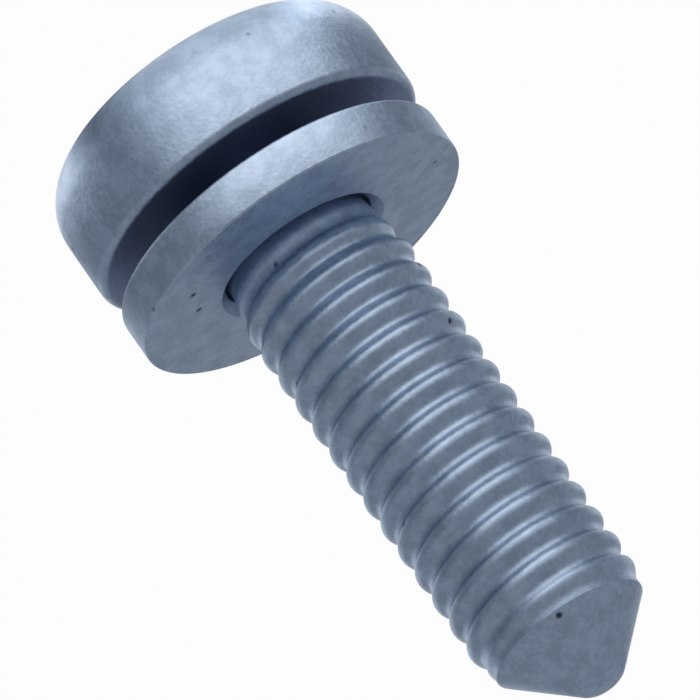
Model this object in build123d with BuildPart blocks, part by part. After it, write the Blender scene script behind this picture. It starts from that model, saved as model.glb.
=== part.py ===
from build123d import *
import math
import os

os.makedirs("parts", exist_ok=True)

# Screw with a captive washer, standing on its head.
# The origin is the centre of the head's top face and +Z runs up the shank to the point.
# All sizes are millimetres.

# Thread, metric coarse, right-hand
thread_major = 5.98          # over the crests
thread_pitch = 1.0
thread_angle = 60            # between the two flanks
crest_width = 0.3            # flat rolled on the crest; it leaves a root diameter of 4.77
thread_phase = 0.93          # height of a crest on the +X side, within one pitch
thread_steps = 24            # straight steps that make one turn of the helix
thread_sectors = 3           # the turn is laid in this many equal sectors
core_depth = 0.1             # the shank's core lies this far under the thread's roots
comb_reach = 0.3             # the teeth grow out of the core from this far inside it
spare_teeth = 1              # teeth laid beyond each end of the thread, then trimmed off
crest_headroom = 0.2         # the trimming shape clears the full crests by this much
fade_dip = 0.05              # the faded teeth run on this far under the plain surface

# Head, cold headed with a rolled-over top edge
head_diameter = 12.0
head_height = 4.05
head_crown_radius = 1.75
head_rim_chamfer = 0.3       # lower edge
neck_chamfer = 0.2           # where the head's underside meets the neck

# Shank, lengths counted from the underside of the head
screw_length = 20.2
neck_diameter = 5.2          # between head and thread
run_out_start = 2.3          # the thread fades in from here
run_out_length = 1.9
collar_diameter = 5.45       # plain collar between the thread and the point
collar_length = 0.12
tip_fade_length = 0.75       # the last turn sinks into the collar
point_angle = 90             # cone, side to side
point_flat_diameter = 1.2
point_edge_radius = 0.4

# Six-lobe socket, size 30
socket_lobes = 6
socket_across_lobes = 5.6
socket_lobe_depth = 0.825    # from a lobe's tip down to the hollow
socket_hollow_share = 0.4    # radius of a hollow, to the spacing of the lobes
socket_lobe_share = 0.1      # radius of a lobe's corners, to the same spacing
socket_depth = 2.2
socket_floor_depth = 0.4     # shallow cone that the punch leaves below the driving depth
socket_floor_flat = 1.2      # across the cone's blunt middle
socket_floor_land = 0.1      # flat left between the cone and the hollows

# Washer, loose on the neck and kept there by the thread
washer_inset = 0.05          # the washer is this much smaller than the head, all round
washer_play = 0.15           # radial play on the neck
washer_thickness = 1.5
washer_rest_gap = 1.0        # from the head's underside, as the photograph shows it
washer_die_roll = 0.2        # outer edge on the head side, rolled over by the blanking punch
washer_edge_chamfer = 0.08   # outer edge on the other side
washer_bore_chamfer = 0.1    # bore's edge on the head side
washer_face_clearance = 0.06 # bore's lead-in on the other side opens to the crests and this, all round

# Places along the axis, and radii
head_underside = head_height
fade_in_start = head_underside + run_out_start
full_thread_start = fade_in_start + run_out_length
point_end = head_underside + screw_length
cone_length = (collar_diameter - point_flat_diameter) / 2 / math.tan(math.radians(point_angle / 2))
collar_end = point_end - cone_length
collar_start = collar_end - collar_length
full_thread_end = collar_start - tip_fade_length
washer_near_face = head_underside + washer_rest_gap
washer_far_face = washer_near_face + washer_thickness
head_radius = head_diameter / 2
neck_radius = neck_diameter / 2
crest_radius = thread_major / 2
root_radius = crest_radius - (thread_pitch - crest_width) / 2 / math.tan(math.radians(thread_angle / 2))
collar_radius = collar_diameter / 2
point_flat_radius = point_flat_diameter / 2
washer_radius = head_radius - washer_inset
bore_radius = neck_radius + washer_play
bore_lead_in = crest_radius + washer_face_clearance - bore_radius

# Axial section through all the thread's teeth, as a comb that reaches into the shank's core
core_radius = root_radius - core_depth
comb_inside = core_radius - comb_reach
first_tooth = math.floor(fade_in_start / thread_pitch) - spare_teeth
comb_start = thread_phase + (first_tooth - 0.5) * thread_pitch
tooth_count = math.ceil((collar_start - comb_start) / thread_pitch) + spare_teeth
comb_corners = [(comb_inside, comb_start), (root_radius, comb_start)]
for tooth in range(tooth_count):
    crest = comb_start + (tooth + 0.5) * thread_pitch
    comb_corners += [
        (crest_radius, crest - crest_width / 2),
        (crest_radius, crest + crest_width / 2),
        (root_radius, crest + thread_pitch / 2),
    ]
comb_corners.append((comb_inside, comb_start + tooth_count * thread_pitch))
with BuildSketch() as comb:
    with BuildLine():
        Polyline(*comb_corners, close=True)
    make_face()


def comb_plane(step):
    """Half plane through the axis, turned and raised along the helix by that many steps."""
    turn = 2 * math.pi * step / thread_steps
    outwards = (math.cos(turn), math.sin(turn), 0)
    sideways = (math.sin(turn), -math.cos(turn), 0)
    return Plane(origin=(0, 0, thread_pitch * step / thread_steps), x_dir=outwards, z_dir=sideways)


def thread_sector(first_step, last_step):
    """The comb lofted along the helix through the given steps, less than half a turn."""
    with BuildPart() as sector:
        for step in range(first_step, last_step + 1):
            with BuildSketch(comb_plane(step)):
                add(comb.sketch)
        loft(ruled=True)
    return sector.part


# How high the crests may stand: they rise over the run-out and fall off into the collar
limit_radius = crest_radius + crest_headroom
limit_rise = crest_headroom * run_out_length / (crest_radius - neck_radius)
with BuildPart() as crest_limit:
    with BuildSketch(Plane.XZ):
        with BuildLine():
            Polyline(
                (0, fade_in_start),
                (neck_radius - fade_dip, fade_in_start),
                (limit_radius, full_thread_start + limit_rise),
                (limit_radius, collar_start - thread_pitch / 2),
                (collar_radius - fade_dip, collar_start + fade_dip),
                (0, collar_start + fade_dip),
                close=True,
            )
        make_face()
    revolve(axis=Axis.Z)

sector_ends = [round(thread_steps * n / thread_sectors) for n in range(thread_sectors + 1)]
with BuildPart() as thread:
    for first_step, last_step in zip(sector_ends, sector_ends[1:]):
        add(thread_sector(first_step, last_step))
    add(crest_limit.part, mode=Mode.INTERSECT)

with BuildPart() as screw:
    # Plain blank: head, neck, core and point in one turned outline
    with BuildSketch(Plane.XZ) as outline:
        with BuildLine():
            Polyline(
                (0, 0),
                (head_radius, 0),
                (head_radius, head_underside),
                (neck_radius, head_underside),
                (neck_radius, fade_in_start),
                (core_radius, full_thread_start),
                (core_radius, full_thread_end),
                (collar_radius, collar_start),
                (collar_radius, collar_end),
                (point_flat_radius, point_end),
                (0, point_end),
                close=True,
            )
        make_face()
        crown_corner = outline.vertices().sort_by_distance((head_radius, 0, 0))[0]
        fillet(crown_corner, head_crown_radius)
        point_corner = outline.vertices().sort_by_distance((point_flat_radius, point_end, 0))[0]
        fillet(point_corner, point_edge_radius)
        rim_corner = outline.vertices().sort_by_distance((head_radius, head_underside, 0))[0]
        chamfer(rim_corner, head_rim_chamfer)
        neck_corner = outline.vertices().sort_by_distance((neck_radius, head_underside, 0))[0]
        chamfer(neck_corner, neck_chamfer)
    revolve(axis=Axis.Z)
    add(thread.part)

    # Six-lobe socket, punched into the head's top, with the cone that the punch leaves below it
    hollow_distance = socket_across_lobes / 2 - socket_lobe_depth
    lobe_spacing = math.pi * socket_across_lobes / socket_lobes
    hollow_radius = socket_hollow_share * lobe_spacing
    floor_radius = hollow_distance - socket_floor_land
    with BuildSketch() as lobes:
        Circle(socket_across_lobes / 2)
        with PolarLocations(hollow_distance + hollow_radius, socket_lobes):
            Circle(hollow_radius, mode=Mode.SUBTRACT)
        fillet(lobes.vertices(), socket_lobe_share * lobe_spacing)
    extrude(amount=socket_depth, mode=Mode.SUBTRACT)
    with Locations((0, 0, socket_depth + socket_floor_depth / 2)):
        Cone(floor_radius, socket_floor_flat / 2, socket_floor_depth, mode=Mode.SUBTRACT)
screw.part.label = "screw"
export_step(screw.part, "parts/screw.step")

# Blanked washer: die roll on the head side, a small chamfer on the other. The bore's lead-in is as
# wide as the thread, so that the face bears only where a hole that comes over the crests leaves it.
with BuildPart() as washer:
    with BuildSketch(Plane.XZ) as section:
        with BuildLine():
            Polyline(
                (bore_radius, washer_near_face),
                (washer_radius, washer_near_face),
                (washer_radius, washer_far_face),
                (bore_radius, washer_far_face),
                close=True,
            )
        make_face()
        die_corner = section.vertices().sort_by_distance((washer_radius, washer_near_face, 0))[0]
        chamfer(die_corner, washer_die_roll)
        edge_corner = section.vertices().sort_by_distance((washer_radius, washer_far_face, 0))[0]
        chamfer(edge_corner, washer_edge_chamfer)
        bore_corner = section.vertices().sort_by_distance((bore_radius, washer_near_face, 0))[0]
        chamfer(bore_corner, washer_bore_chamfer)
        lead_corner = section.vertices().sort_by_distance((bore_radius, washer_far_face, 0))[0]
        chamfer(lead_corner, bore_lead_in)
    revolve(axis=Axis.Z)
washer.part.label = "washer"
export_step(washer.part, "parts/washer.step")
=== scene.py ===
import bpy
import math
from mathutils import Matrix, Vector


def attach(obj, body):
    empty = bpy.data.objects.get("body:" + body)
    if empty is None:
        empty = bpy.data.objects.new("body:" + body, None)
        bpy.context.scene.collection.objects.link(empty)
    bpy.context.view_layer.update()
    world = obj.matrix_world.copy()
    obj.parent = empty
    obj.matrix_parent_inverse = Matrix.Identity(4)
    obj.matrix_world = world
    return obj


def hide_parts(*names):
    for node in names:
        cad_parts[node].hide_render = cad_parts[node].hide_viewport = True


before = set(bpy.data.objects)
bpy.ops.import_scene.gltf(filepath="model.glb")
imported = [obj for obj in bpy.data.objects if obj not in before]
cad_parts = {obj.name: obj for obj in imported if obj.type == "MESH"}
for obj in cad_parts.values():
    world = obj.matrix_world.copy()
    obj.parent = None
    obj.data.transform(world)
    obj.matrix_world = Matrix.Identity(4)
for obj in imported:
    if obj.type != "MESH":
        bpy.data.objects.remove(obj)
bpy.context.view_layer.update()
scene = bpy.context.scene

# The screw is one piece of steel: cold headed, its thread rolled between two dies, its point
# pressed to a cone, and the whole dipped in a matt zinc-flake coat. Sizes are in millimetres, and
# the head stands on its top face at z = 0, as it does in the frame.
mm = 0.001
around = 128                        # facets round the axis
head_radius = 6.0
head_height = 4.05
crown_radius = 1.75                 # rounded top edge of the head
rim_radius = 0.3                    # softer edge on the washer's side
neck_radius = 2.6
neck_fillet = 0.2
thread_begin = 6.2                  # the plain neck ends just below the first faint turn
collar_radius = 2.725
thread_end = 22.04                  # the plain collar starts here
point_start = 22.125
point_end = 24.25
point_radius = 0.6
point_edge_radius = 0.32            # softened edge of the blunt end
same_place = 1e-4                   # vertices nearer than this are one
smooth_below = math.radians(35)     # edges sharper than this stay crisp


def start_alone():
    """Leaves edit mode with nothing selected, so that the next operator acts on its own piece."""
    if bpy.context.mode != "OBJECT":
        bpy.ops.object.mode_set(mode="OBJECT")
    bpy.ops.object.select_all(action="DESELECT")


def draw_line(name, corners):
    """A chain of edges in the XZ plane, drawn from corner to corner as (radius, height)."""
    start_alone()
    bpy.ops.mesh.primitive_plane_add(size=1, location=(0, 0, 0))
    line = bpy.context.object
    line.name = name
    line.data.name = name
    bpy.ops.object.mode_set(mode="EDIT")
    bpy.ops.mesh.select_mode(type="VERT")
    bpy.ops.mesh.merge(type="CENTER")
    bpy.ops.transform.translate(value=(corners[0][0], 0, corners[0][1]))
    for here, there in zip(corners, corners[1:]):
        step = (there[0] - here[0], 0, there[1] - here[1])
        bpy.ops.mesh.extrude_region_move(TRANSFORM_OT_translate={"value": step})
    return line


def pick_vertices(piece, wanted):
    """Selects the vertices whose place passes the test, in edit mode."""
    bpy.ops.object.mode_set(mode="EDIT")
    bpy.ops.mesh.select_mode(type="VERT")
    bpy.ops.mesh.select_all(action="DESELECT")
    bpy.ops.object.mode_set(mode="OBJECT")
    for vertex in piece.data.vertices:
        vertex.select = wanted(vertex.co)
    bpy.ops.object.mode_set(mode="EDIT")


def round_corner(line, corner, radius, segments):
    """Rounds one corner of a drawn line."""
    place = Vector((corner[0], 0, corner[1]))
    pick_vertices(line, lambda co: (co - place).length < 10 * same_place)
    bpy.ops.mesh.bevel(offset=radius, segments=segments, affect="VERTICES")


def turn_round(piece):
    """Spins the drawn line into a body of revolution and closes it where it meets the axis."""
    bpy.ops.object.mode_set(mode="EDIT")
    bpy.ops.mesh.select_all(action="SELECT")
    bpy.ops.mesh.spin(steps=around, angle=2 * math.pi, center=(0, 0, 0), axis=(0, 0, 1))
    bpy.ops.mesh.select_all(action="SELECT")
    bpy.ops.mesh.remove_doubles(threshold=same_place)
    bpy.ops.mesh.normals_make_consistent(inside=False)
    bpy.ops.object.mode_set(mode="OBJECT")


head = draw_line("screw_head", [
    (0, 0),
    (head_radius, 0),
    (head_radius, head_height),
    (neck_radius, head_height),
    (neck_radius, thread_begin),
])
round_corner(head, (head_radius, 0), crown_radius, segments=12)
round_corner(head, (head_radius, head_height), rim_radius, segments=6)
round_corner(head, (neck_radius, head_height), neck_fillet, segments=5)
turn_round(head)

point = draw_line("screw_point", [
    (collar_radius, thread_end),
    (collar_radius, point_start),
    (point_radius, point_end),
    (0, point_end),
])
round_corner(point, (point_radius, point_end), point_edge_radius, segments=6)
turn_round(point)

# The thread: right-hand, one turn each millimetre, faded in from the neck and sunk into the
# collar. Its grooves are shallow and soft after the photograph's outline, as if the coat filled
# them. The solids have the standard depth.
pitch = 1.0
crest_radius = 2.985
root_radius = 2.74
crest_flat = 0.27
flank = 0.26                        # along the axis, from crest to groove
crest_rounding = 0.12
groove_rounding = 0.1
crest_height = 0.93                 # height of a crest on the +X side, within one pitch
thread_steps = 96
full_thread_start = 8.25
full_thread_end = 21.25
turns_below = 4                     # whole pitches under the first turn drawn
joint_gap = 0.05                    # between the cut thread and the plain pieces it is bridged to
joint_reach = 0.2                   # open edges this near a joint belong to it

first_root = crest_height + pitch * turns_below - pitch / 2
turns = math.ceil((thread_end - first_root) / pitch) + 1
thread = draw_line("screw_thread", [
    (root_radius, first_root),
    (root_radius, first_root + pitch / 2 - crest_flat / 2 - flank),
    (crest_radius, first_root + pitch / 2 - crest_flat / 2),
    (crest_radius, first_root + pitch / 2 + crest_flat / 2),
    (root_radius, first_root + pitch / 2 + crest_flat / 2 + flank),
    (root_radius, first_root + pitch),
])
for side in (-1, 1):
    middle = first_root + pitch / 2
    round_corner(thread, (root_radius, middle + side * (crest_flat / 2 + flank)),
                 groove_rounding, segments=5)
    round_corner(thread, (crest_radius, middle + side * crest_flat / 2),
                 crest_rounding, segments=6)
bpy.ops.object.mode_set(mode="OBJECT")
rolled = thread.modifiers.new("rolled", "SCREW")
rolled.axis = "Z"
rolled.angle = 2 * math.pi
rolled.screw_offset = pitch
rolled.iterations = turns
rolled.steps = thread_steps
rolled.render_steps = thread_steps
rolled.use_merge_vertices = True
rolled.merge_threshold = same_place
bpy.ops.object.modifier_apply(modifier="rolled")
bpy.ops.object.mode_set(mode="EDIT")
bpy.ops.mesh.select_all(action="SELECT")
bpy.ops.mesh.remove_doubles(threshold=same_place)
for height, outwards in ((thread_begin + joint_gap, -1), (thread_end - joint_gap, 1)):
    bpy.ops.mesh.select_all(action="SELECT")
    bpy.ops.mesh.bisect(
        plane_co=(0, 0, height), plane_no=(0, 0, outwards), clear_outer=True, threshold=1e-5
    )
bpy.ops.object.mode_set(mode="OBJECT")


def fade(name, plain_height, full_height, plain_radius):
    """Draws the thread onto a plain cylinder, wholly at one height and not at all at the other."""
    group = thread.vertex_groups.new(name=name)
    for vertex in thread.data.vertices:
        share = (full_height - vertex.co.z) / (full_height - plain_height)
        share = min(max(share, 0.0), 1.0)
        if share > 0:
            group.add([vertex.index], share, "REPLACE")
    cast = thread.modifiers.new(name, "CAST")
    cast.cast_type = "CYLINDER"
    cast.use_z = False
    cast.factor = 1.0
    cast.use_radius_as_size = False
    cast.size = plain_radius
    cast.vertex_group = name
    bpy.context.view_layer.objects.active = thread
    bpy.ops.object.modifier_apply(modifier=name)


fade("run_out", thread_begin + 2 * joint_gap, full_thread_start, neck_radius)
fade("run_in", thread_end - 2 * joint_gap, full_thread_end, collar_radius)

start_alone()
for part in (head, point, thread):
    part.select_set(True)
bpy.context.view_layer.objects.active = head
bpy.ops.object.join()
screw = head
screw.name = "screw_body"
screw.data.name = "screw_body"
for joint_height in (thread_begin, thread_end):
    bpy.ops.object.mode_set(mode="EDIT")
    bpy.ops.mesh.select_mode(type="EDGE")
    bpy.ops.mesh.select_all(action="DESELECT")
    bpy.ops.mesh.select_non_manifold(
        extend=False, use_wire=False, use_boundary=True, use_multi_face=False,
        use_non_contiguous=False, use_verts=False,
    )
    bpy.ops.object.mode_set(mode="OBJECT")
    heights = [vertex.co.z for vertex in screw.data.vertices]
    for edge in screw.data.edges:
        if abs(heights[edge.vertices[0]] - joint_height) > joint_reach:
            edge.select = False
    bpy.ops.object.mode_set(mode="EDIT")
    bpy.ops.mesh.bridge_edge_loops()
bpy.ops.mesh.select_all(action="SELECT")
bpy.ops.mesh.normals_make_consistent(inside=False)
bpy.ops.object.mode_set(mode="OBJECT")

# The six-lobe socket that the punch leaves in the head's top, for a driver of size 30, with a
# shallow cone at its floor. Nothing in the photograph shows it, so it has the standard's sizes.
lobe_count = 6
across_lobes = 5.6
across_hollows = 3.95
lobe_tip = 0.45                     # radius of a lobe's end
lobe_distance = across_lobes / 2 - lobe_tip
core_radius = 2.45
hollow_radius = 1.18
hollow_distance = across_hollows / 2 + hollow_radius
socket_depth = 2.2
floor_cone_radius = 1.875
floor_cone_flat = 0.6
floor_cone_depth = 0.4


def merge_cutter(punch, cutter, operation):
    """Adds a cutter to the punch or takes it away, and removes the cutter."""
    join = punch.modifiers.new("join", "BOOLEAN")
    join.object = cutter
    join.operation = operation
    join.solver = "EXACT"
    bpy.context.view_layer.objects.active = punch
    bpy.ops.object.modifier_apply(modifier="join")
    bpy.data.objects.remove(cutter)


start_alone()
bpy.ops.mesh.primitive_cylinder_add(vertices=96, radius=core_radius, depth=2 * socket_depth)
punch = bpy.context.object
for operation, radius, away_from_axis, first_turn in (
    ("UNION", lobe_tip, lobe_distance, 0),
    ("DIFFERENCE", hollow_radius, hollow_distance, 30),
):
    for n in range(lobe_count):
        turn = math.radians(first_turn + 360 / lobe_count * n)
        start_alone()
        bpy.ops.mesh.primitive_cylinder_add(
            vertices=48, radius=radius,
            depth=2 * socket_depth if operation == "UNION" else 3 * socket_depth,
            location=(away_from_axis * math.cos(turn), away_from_axis * math.sin(turn), 0),
        )
        merge_cutter(punch, bpy.context.object, operation)
start_alone()
bpy.ops.mesh.primitive_cone_add(
    vertices=64, radius1=floor_cone_radius, radius2=floor_cone_flat, depth=floor_cone_depth,
    location=(0, 0, socket_depth + floor_cone_depth / 2),
)
merge_cutter(punch, bpy.context.object, "UNION")
start_alone()
merge_cutter(screw, punch, "DIFFERENCE")

start_alone()
screw.select_set(True)
bpy.context.view_layer.objects.active = screw
screw.scale = (mm, mm, mm)
bpy.ops.object.transform_apply(scale=True)
bpy.ops.object.shade_smooth_by_angle(angle=smooth_below)

# The coat: zinc flakes in a matt binder, dipped and baked, blotched and finely grained, with a few
# small dark pits. Painted shade darkens it in the gap under the head and round the neck, where the
# photograph shows the gap near black, as a stand-in for the shadow there.
blotch_scale = 1500                 # per metre, as the other two
flake_scale = 6500
pit_scale = 800
pit_share = 0.28                    # of the cells have a pit
pit_colour = (0.05, 0.07, 0.12, 1)
# The painted shade: the coat's colour in the gap under the head, standing in for the shadow there.
painted_shade_colour = (0.33, 0.39, 0.53, 1)
least_roughness = 0.41
most_roughness = 0.51
coat = bpy.data.node_groups.new("zinc_flake_coat", "ShaderNodeTree")
coat.interface.new_socket("Place", in_out="INPUT", socket_type="NodeSocketVector")
coat.interface.new_socket("Dark", in_out="INPUT", socket_type="NodeSocketColor")
coat.interface.new_socket("Light", in_out="INPUT", socket_type="NodeSocketColor")
coat.interface.new_socket("Painted Shade", in_out="INPUT", socket_type="NodeSocketFloat")
coat.interface.new_socket("Colour", in_out="OUTPUT", socket_type="NodeSocketColor")
coat.interface.new_socket("Roughness", in_out="OUTPUT", socket_type="NodeSocketFloat")
coat.interface.new_socket("Height", in_out="OUTPUT", socket_type="NodeSocketFloat")
given = coat.nodes.new("NodeGroupInput")
made = coat.nodes.new("NodeGroupOutput")

blotches = coat.nodes.new("ShaderNodeTexNoise")
blotches.inputs["Scale"].default_value = blotch_scale
blotches.inputs["Detail"].default_value = 4
blotches.inputs["Roughness"].default_value = 0.6
coat.links.new(given.outputs["Place"], blotches.inputs["Vector"])
blotch_range = coat.nodes.new("ShaderNodeMapRange")
blotch_range.inputs["From Min"].default_value = 0.36
blotch_range.inputs["From Max"].default_value = 0.64
coat.links.new(blotches.outputs["Fac"], blotch_range.inputs["Value"])

flakes = coat.nodes.new("ShaderNodeTexNoise")
flakes.inputs["Scale"].default_value = flake_scale
flakes.inputs["Detail"].default_value = 2
coat.links.new(given.outputs["Place"], flakes.inputs["Vector"])
flake_range = coat.nodes.new("ShaderNodeMapRange")
flake_range.inputs["From Min"].default_value = 0.3
flake_range.inputs["From Max"].default_value = 0.7
flake_range.inputs["To Min"].default_value = -0.45
flake_range.inputs["To Max"].default_value = 0.45
coat.links.new(flakes.outputs["Fac"], flake_range.inputs["Value"])
speckled = coat.nodes.new("ShaderNodeMath")
speckled.operation = "ADD"
speckled.use_clamp = True
coat.links.new(blotch_range.outputs["Result"], speckled.inputs[0])
coat.links.new(flake_range.outputs["Result"], speckled.inputs[1])
blotch_colour = coat.nodes.new("ShaderNodeMix")
blotch_colour.data_type = "RGBA"
coat.links.new(speckled.outputs["Value"], blotch_colour.inputs["Factor"])
coat.links.new(given.outputs["Dark"], blotch_colour.inputs[6])
coat.links.new(given.outputs["Light"], blotch_colour.inputs[7])

pits = coat.nodes.new("ShaderNodeTexVoronoi")
pits.inputs["Scale"].default_value = pit_scale
coat.links.new(given.outputs["Place"], pits.inputs["Vector"])
pit_shape = coat.nodes.new("ShaderNodeMapRange")
pit_shape.inputs["From Min"].default_value = 0.05
pit_shape.inputs["From Max"].default_value = 0.12
pit_shape.inputs["To Min"].default_value = 1
pit_shape.inputs["To Max"].default_value = 0
coat.links.new(pits.outputs["Distance"], pit_shape.inputs["Value"])
few = coat.nodes.new("ShaderNodeSeparateColor")
coat.links.new(pits.outputs["Color"], few.inputs["Color"])
kept = coat.nodes.new("ShaderNodeMath")
kept.operation = "GREATER_THAN"
kept.inputs[1].default_value = 1 - pit_share
coat.links.new(few.outputs["Red"], kept.inputs[0])
pit_mask = coat.nodes.new("ShaderNodeMath")
pit_mask.operation = "MULTIPLY"
coat.links.new(pit_shape.outputs["Result"], pit_mask.inputs[0])
coat.links.new(kept.outputs["Value"], pit_mask.inputs[1])
pitted = coat.nodes.new("ShaderNodeMix")
pitted.data_type = "RGBA"
coat.links.new(pit_mask.outputs["Value"], pitted.inputs["Factor"])
coat.links.new(blotch_colour.outputs[2], pitted.inputs[6])
pitted.inputs[7].default_value = pit_colour
# Painted shade: the coat is mixed towards that dark colour where the material asks, in place of
# shadow.
painted_shade_mix = coat.nodes.new("ShaderNodeMix")
painted_shade_mix.data_type = "RGBA"
coat.links.new(given.outputs["Painted Shade"], painted_shade_mix.inputs["Factor"])
coat.links.new(pitted.outputs[2], painted_shade_mix.inputs[6])
painted_shade_mix.inputs[7].default_value = painted_shade_colour
coat.links.new(painted_shade_mix.outputs[2], made.inputs["Colour"])

duller = coat.nodes.new("ShaderNodeMapRange")
duller.inputs["From Min"].default_value = 0.3
duller.inputs["From Max"].default_value = 0.7
duller.inputs["To Min"].default_value = least_roughness
duller.inputs["To Max"].default_value = most_roughness
coat.links.new(flakes.outputs["Fac"], duller.inputs["Value"])
coat.links.new(duller.outputs["Result"], made.inputs["Roughness"])

raised = coat.nodes.new("ShaderNodeMath")
raised.operation = "MULTIPLY_ADD"
raised.inputs[1].default_value = 0.7
coat.links.new(blotches.outputs["Fac"], raised.inputs[0])
coat.links.new(flakes.outputs["Fac"], raised.inputs[2])
sunk = coat.nodes.new("ShaderNodeMath")
sunk.operation = "SUBTRACT"
coat.links.new(raised.outputs["Value"], sunk.inputs[0])
coat.links.new(pit_mask.outputs["Value"], sunk.inputs[1])
coat.links.new(sunk.outputs["Value"], made.inputs["Height"])


def coated_steel(name, dark, light, relief, painted_shade_start, painted_shade_end):
    """The coated metal in a piece's two tones, with painted shade between two heights, each a
    (clear, full).
    """
    material = bpy.data.materials.new(name)
    material.use_nodes = True
    tree = material.node_tree
    shader = tree.nodes["Principled BSDF"]
    shader.inputs["Metallic"].default_value = 1.0
    place = tree.nodes.new("ShaderNodeTexCoord")
    dipped = tree.nodes.new("ShaderNodeGroup")
    dipped.node_tree = coat
    dipped.inputs["Dark"].default_value = (*dark, 1)
    dipped.inputs["Light"].default_value = (*light, 1)
    tree.links.new(place.outputs["Object"], dipped.inputs["Place"])
    axes = tree.nodes.new("ShaderNodeSeparateXYZ")
    tree.links.new(place.outputs["Object"], axes.inputs["Vector"])
    # The band of painted shade between the two heights.
    ramps = []
    for clear, full in (painted_shade_start, painted_shade_end):
        ramp = tree.nodes.new("ShaderNodeMapRange")
        ramp.inputs["From Min"].default_value = clear * mm
        ramp.inputs["From Max"].default_value = full * mm
        tree.links.new(axes.outputs["Z"], ramp.inputs["Value"])
        ramps.append(ramp)
    painted_shade_band = tree.nodes.new("ShaderNodeMath")
    painted_shade_band.operation = "MULTIPLY"
    tree.links.new(ramps[0].outputs["Result"], painted_shade_band.inputs[0])
    tree.links.new(ramps[1].outputs["Result"], painted_shade_band.inputs[1])
    tree.links.new(painted_shade_band.outputs["Value"], dipped.inputs["Painted Shade"])
    bump = tree.nodes.new("ShaderNodeBump")
    bump.inputs["Strength"].default_value = 1.0
    bump.inputs["Distance"].default_value = relief
    tree.links.new(dipped.outputs["Height"], bump.inputs["Height"])
    tree.links.new(dipped.outputs["Colour"], shader.inputs["Base Color"])
    tree.links.new(dipped.outputs["Roughness"], shader.inputs["Roughness"])
    tree.links.new(bump.outputs["Normal"], shader.inputs["Normal"])
    return material


screw.data.materials.clear()
# Painted shade over the head's underside and up the neck, in the gap under the washer.
screw.data.materials.append(
    coated_steel(
        "coated_screw", dark=(0.41, 0.50, 0.635), light=(0.53, 0.635, 0.79), relief=0.012 * mm,
        painted_shade_start=(head_height - 0.03, head_height), painted_shade_end=(6.9, 6.2),
    )
)
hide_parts("screw")
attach(screw, "screw")

# The washer is blanked from steel sheet: the punch rolls the outer edge over on the head's side
# and leaves it sharp on the other. It hangs loose on the neck, kept there by the thread rolled
# after it was put on, and it has the same coat, a shade lighter, with painted shade on the near
# face, in the gap under the head.
washer_radius = 5.95
bore_radius = 2.75
near_face = 5.05
far_face = 6.55
die_roll = 0.2
edge_rounding = 0.08
bore_rounding = 0.1
lead_in = 0.3                       # wide bevel on the bore's edge, on the thread's side
washer = draw_line("washer_ring", [
    (bore_radius, near_face),
    (washer_radius, near_face),
    (washer_radius, far_face),
    (bore_radius, far_face),
    (bore_radius, near_face),
])
bpy.ops.mesh.select_all(action="SELECT")
bpy.ops.mesh.remove_doubles(threshold=same_place)
round_corner(washer, (washer_radius, near_face), die_roll, segments=6)
round_corner(washer, (washer_radius, far_face), edge_rounding, segments=4)
round_corner(washer, (bore_radius, near_face), bore_rounding, segments=3)
round_corner(washer, (bore_radius, far_face), lead_in, segments=1)
turn_round(washer)
start_alone()
washer.select_set(True)
bpy.context.view_layer.objects.active = washer
washer.scale = (mm, mm, mm)
bpy.ops.object.transform_apply(scale=True)
bpy.ops.object.shade_smooth_by_angle(angle=smooth_below)
washer.data.materials.clear()
washer.data.materials.append(
    coated_steel(
        "coated_washer", dark=(0.44, 0.53, 0.665), light=(0.56, 0.665, 0.82), relief=0.01 * mm,
        # painted shade on the near face, in the gap under the head
        painted_shade_start=(near_face - 0.05, near_face - 0.01),
        painted_shade_end=(near_face + 0.07, near_face + 0.01),
    )
)
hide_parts("washer")
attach(washer, "washer")

# The table is white paper, and the camera sees it white. Reflections alone see light painted on
# it, brightest at the front left and dim elsewhere, in place of the photograph's studio. There is
# no lamp.
pool_direction = -114               # degrees round the screw
pool_near = 1.38                    # strengths, where 1 is white
pool_far = 0.55
pool_under_head = 0.5               # share of the pool that is left there
behind_strength = 0.8
beside_strength = 1.1
round_about_most = 1.0
dim_strength = 0.29
dim_colour = (0.80, 0.90, 1, 1)
white_share = 0.97                  # of what the camera sees, the rest keeps the soft shadow
start_alone()
bpy.ops.mesh.primitive_plane_add(size=4, location=(0, 0, 0))
floor = bpy.context.object
floor.name = "floor"
paper = bpy.data.materials.new("white_paper")
paper.use_nodes = True
nodes = paper.node_tree.nodes
links = paper.node_tree.links
sheet = nodes["Principled BSDF"]
sheet.inputs["Base Color"].default_value = (0.9, 0.9, 0.9, 1)
sheet.inputs["Roughness"].default_value = 0.9
place = nodes.new("ShaderNodeTexCoord")


def floor_math(operation, first, second, third=None):
    """One step of arithmetic on the floor's coordinates."""
    step = nodes.new("ShaderNodeMath")
    step.operation = operation
    for number, value in enumerate((first, second, third)):
        if value is None:
            continue
        if isinstance(value, (int, float)):
            step.inputs[number].default_value = value
        else:
            links.new(value, step.inputs[number])
    return step.outputs["Value"]


def floor_ramp(value, near, far, at_near, at_far):
    """A soft ramp from one value to another."""
    ramp = nodes.new("ShaderNodeMapRange")
    ramp.interpolation_type = "SMOOTHSTEP"
    links.new(value, ramp.inputs["Value"])
    ramp.inputs["From Min"].default_value = near
    ramp.inputs["From Max"].default_value = far
    ramp.inputs["To Min"].default_value = at_near
    ramp.inputs["To Max"].default_value = at_far
    return ramp.outputs["Result"]


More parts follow.
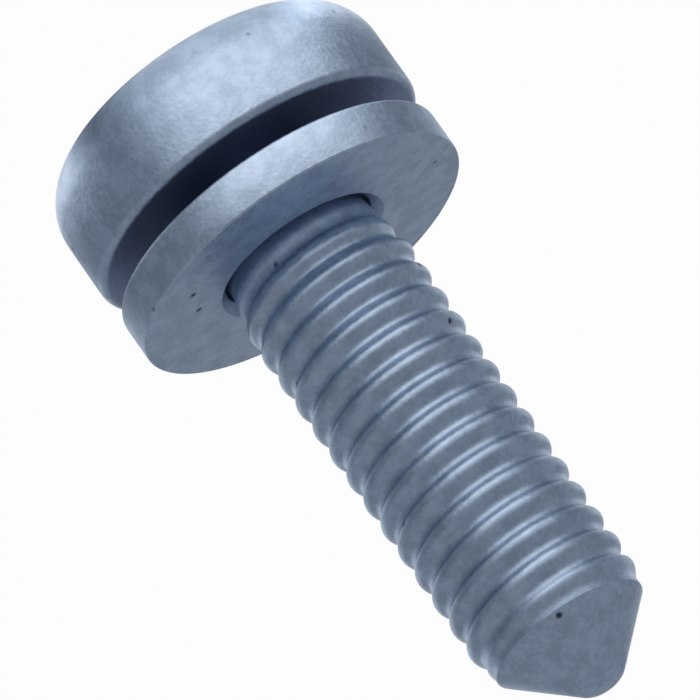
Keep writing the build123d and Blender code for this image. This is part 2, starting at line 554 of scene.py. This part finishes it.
along = nodes.new("ShaderNodeSeparateXYZ")
links.new(place.outputs["Object"], along.inputs["Vector"])
length = nodes.new("ShaderNodeVectorMath")
length.operation = "LENGTH"
links.new(place.outputs["Object"], length.inputs[0])
out = floor_math("MAXIMUM", length.outputs["Value"], mm)
turn = math.radians(pool_direction)
towards = floor_math("MULTIPLY_ADD", along.outputs["X"], math.cos(turn),
                     floor_math("MULTIPLY", along.outputs["Y"], math.sin(turn)))
towards = floor_math("DIVIDE", towards, out)
backwards = floor_math("DIVIDE", along.outputs["Y"], out)
front = floor_ramp(towards, 0.48, 0.97, 0.0, 1.0)
behind = floor_ramp(backwards, 0.3, 0.9, 0.0, behind_strength)
beside = floor_ramp(backwards, -0.8, -0.4, 0.0, 1.0)
beside = floor_math("MULTIPLY", beside, floor_ramp(out, 6.5 * mm, 10.5 * mm, beside_strength, 0.0))
front = floor_math("MULTIPLY", front, floor_ramp(out, 14 * mm, 45 * mm, pool_near, pool_far))
front = floor_math("MULTIPLY", front, floor_ramp(out, 6 * mm, 11 * mm, pool_under_head, 1.0))
round_about = floor_math("MINIMUM", floor_math("ADD", behind, beside), round_about_most)
pool = floor_math("ADD", floor_math("ADD", front, round_about), dim_strength)
mirrored = nodes.new("ShaderNodeEmission")
links.new(pool, mirrored.inputs["Strength"])
shade = nodes.new("ShaderNodeMix")
shade.data_type = "RGBA"
shade.inputs[6].default_value = dim_colour
shade.inputs[7].default_value = (1, 1, 1, 1)
lit = floor_math("MAXIMUM", floor_math("MAXIMUM", front, behind), beside)
links.new(lit, shade.inputs["Factor"])
links.new(shade.outputs[2], mirrored.inputs["Color"])
white = nodes.new("ShaderNodeEmission")
white.inputs["Strength"].default_value = 1.0
rays = nodes.new("ShaderNodeLightPath")
shown = nodes.new("ShaderNodeMixShader")
links.new(floor_math("MULTIPLY", rays.outputs["Is Camera Ray"], white_share), shown.inputs["Fac"])
links.new(sheet.outputs["BSDF"], shown.inputs[1])
links.new(white.outputs["Emission"], shown.inputs[2])
seen = nodes.new("ShaderNodeMixShader")
reflected = floor_math("MAXIMUM", rays.outputs["Is Glossy Ray"], rays.outputs["Is Transmission Ray"])
links.new(reflected, seen.inputs["Fac"])
links.new(shown.outputs["Shader"], seen.inputs[1])
links.new(mirrored.outputs["Emission"], seen.inputs[2])
links.new(seen.outputs["Shader"], nodes["Material Output"].inputs["Surface"])
floor.data.materials.append(paper)

# The room round the table is even, dim and a little blue.
world = bpy.data.worlds.new("studio")
scene.world = world
world.use_nodes = True
room = world.node_tree.nodes["Background"]
room.inputs["Color"].default_value = (0.86, 0.93, 1, 1)
room.inputs["Strength"].default_value = 0.36

# The camera stands where the photograph's stood, about 31 cm away with a long lens.
view_tilt = math.radians(69.30)     # between the screw's axis and the line of sight
view_roll = math.radians(54.93)     # of the screw's axis in the picture, below the horizontal
picture_size = 700
sensor_width = 36
anchor = Vector((0, 0, far_face))   # centre of the washer's far face
anchor_pixel = (303.08, 255.10)     # where the photograph shows it
pixels_per_mm = 31.389
distance = 313.5                    # in millimetres, from the anchor
right = Vector((
    -math.sin(view_roll),
    math.cos(view_tilt) * math.cos(view_roll),
    math.sin(view_tilt) * math.cos(view_roll),
))
away = Vector((0, math.sin(view_tilt), -math.cos(view_tilt)))
down = away.cross(right)
shift = [(pixel - picture_size / 2) / pixels_per_mm for pixel in anchor_pixel]
eye = anchor - shift[0] * right - shift[1] * down - distance * away
camera_data = bpy.data.cameras.new("camera")
camera_data.sensor_width = sensor_width
camera_data.lens = sensor_width * pixels_per_mm * distance / picture_size
camera_data.clip_start = 0.01
camera = bpy.data.objects.new("camera", camera_data)
scene.collection.objects.link(camera)
turned = Matrix((right, -down, -away)).transposed().to_4x4()
camera.matrix_world = Matrix.Translation(eye * mm) @ turned
scene.camera = camera
scene.view_settings.view_transform = "Standard"
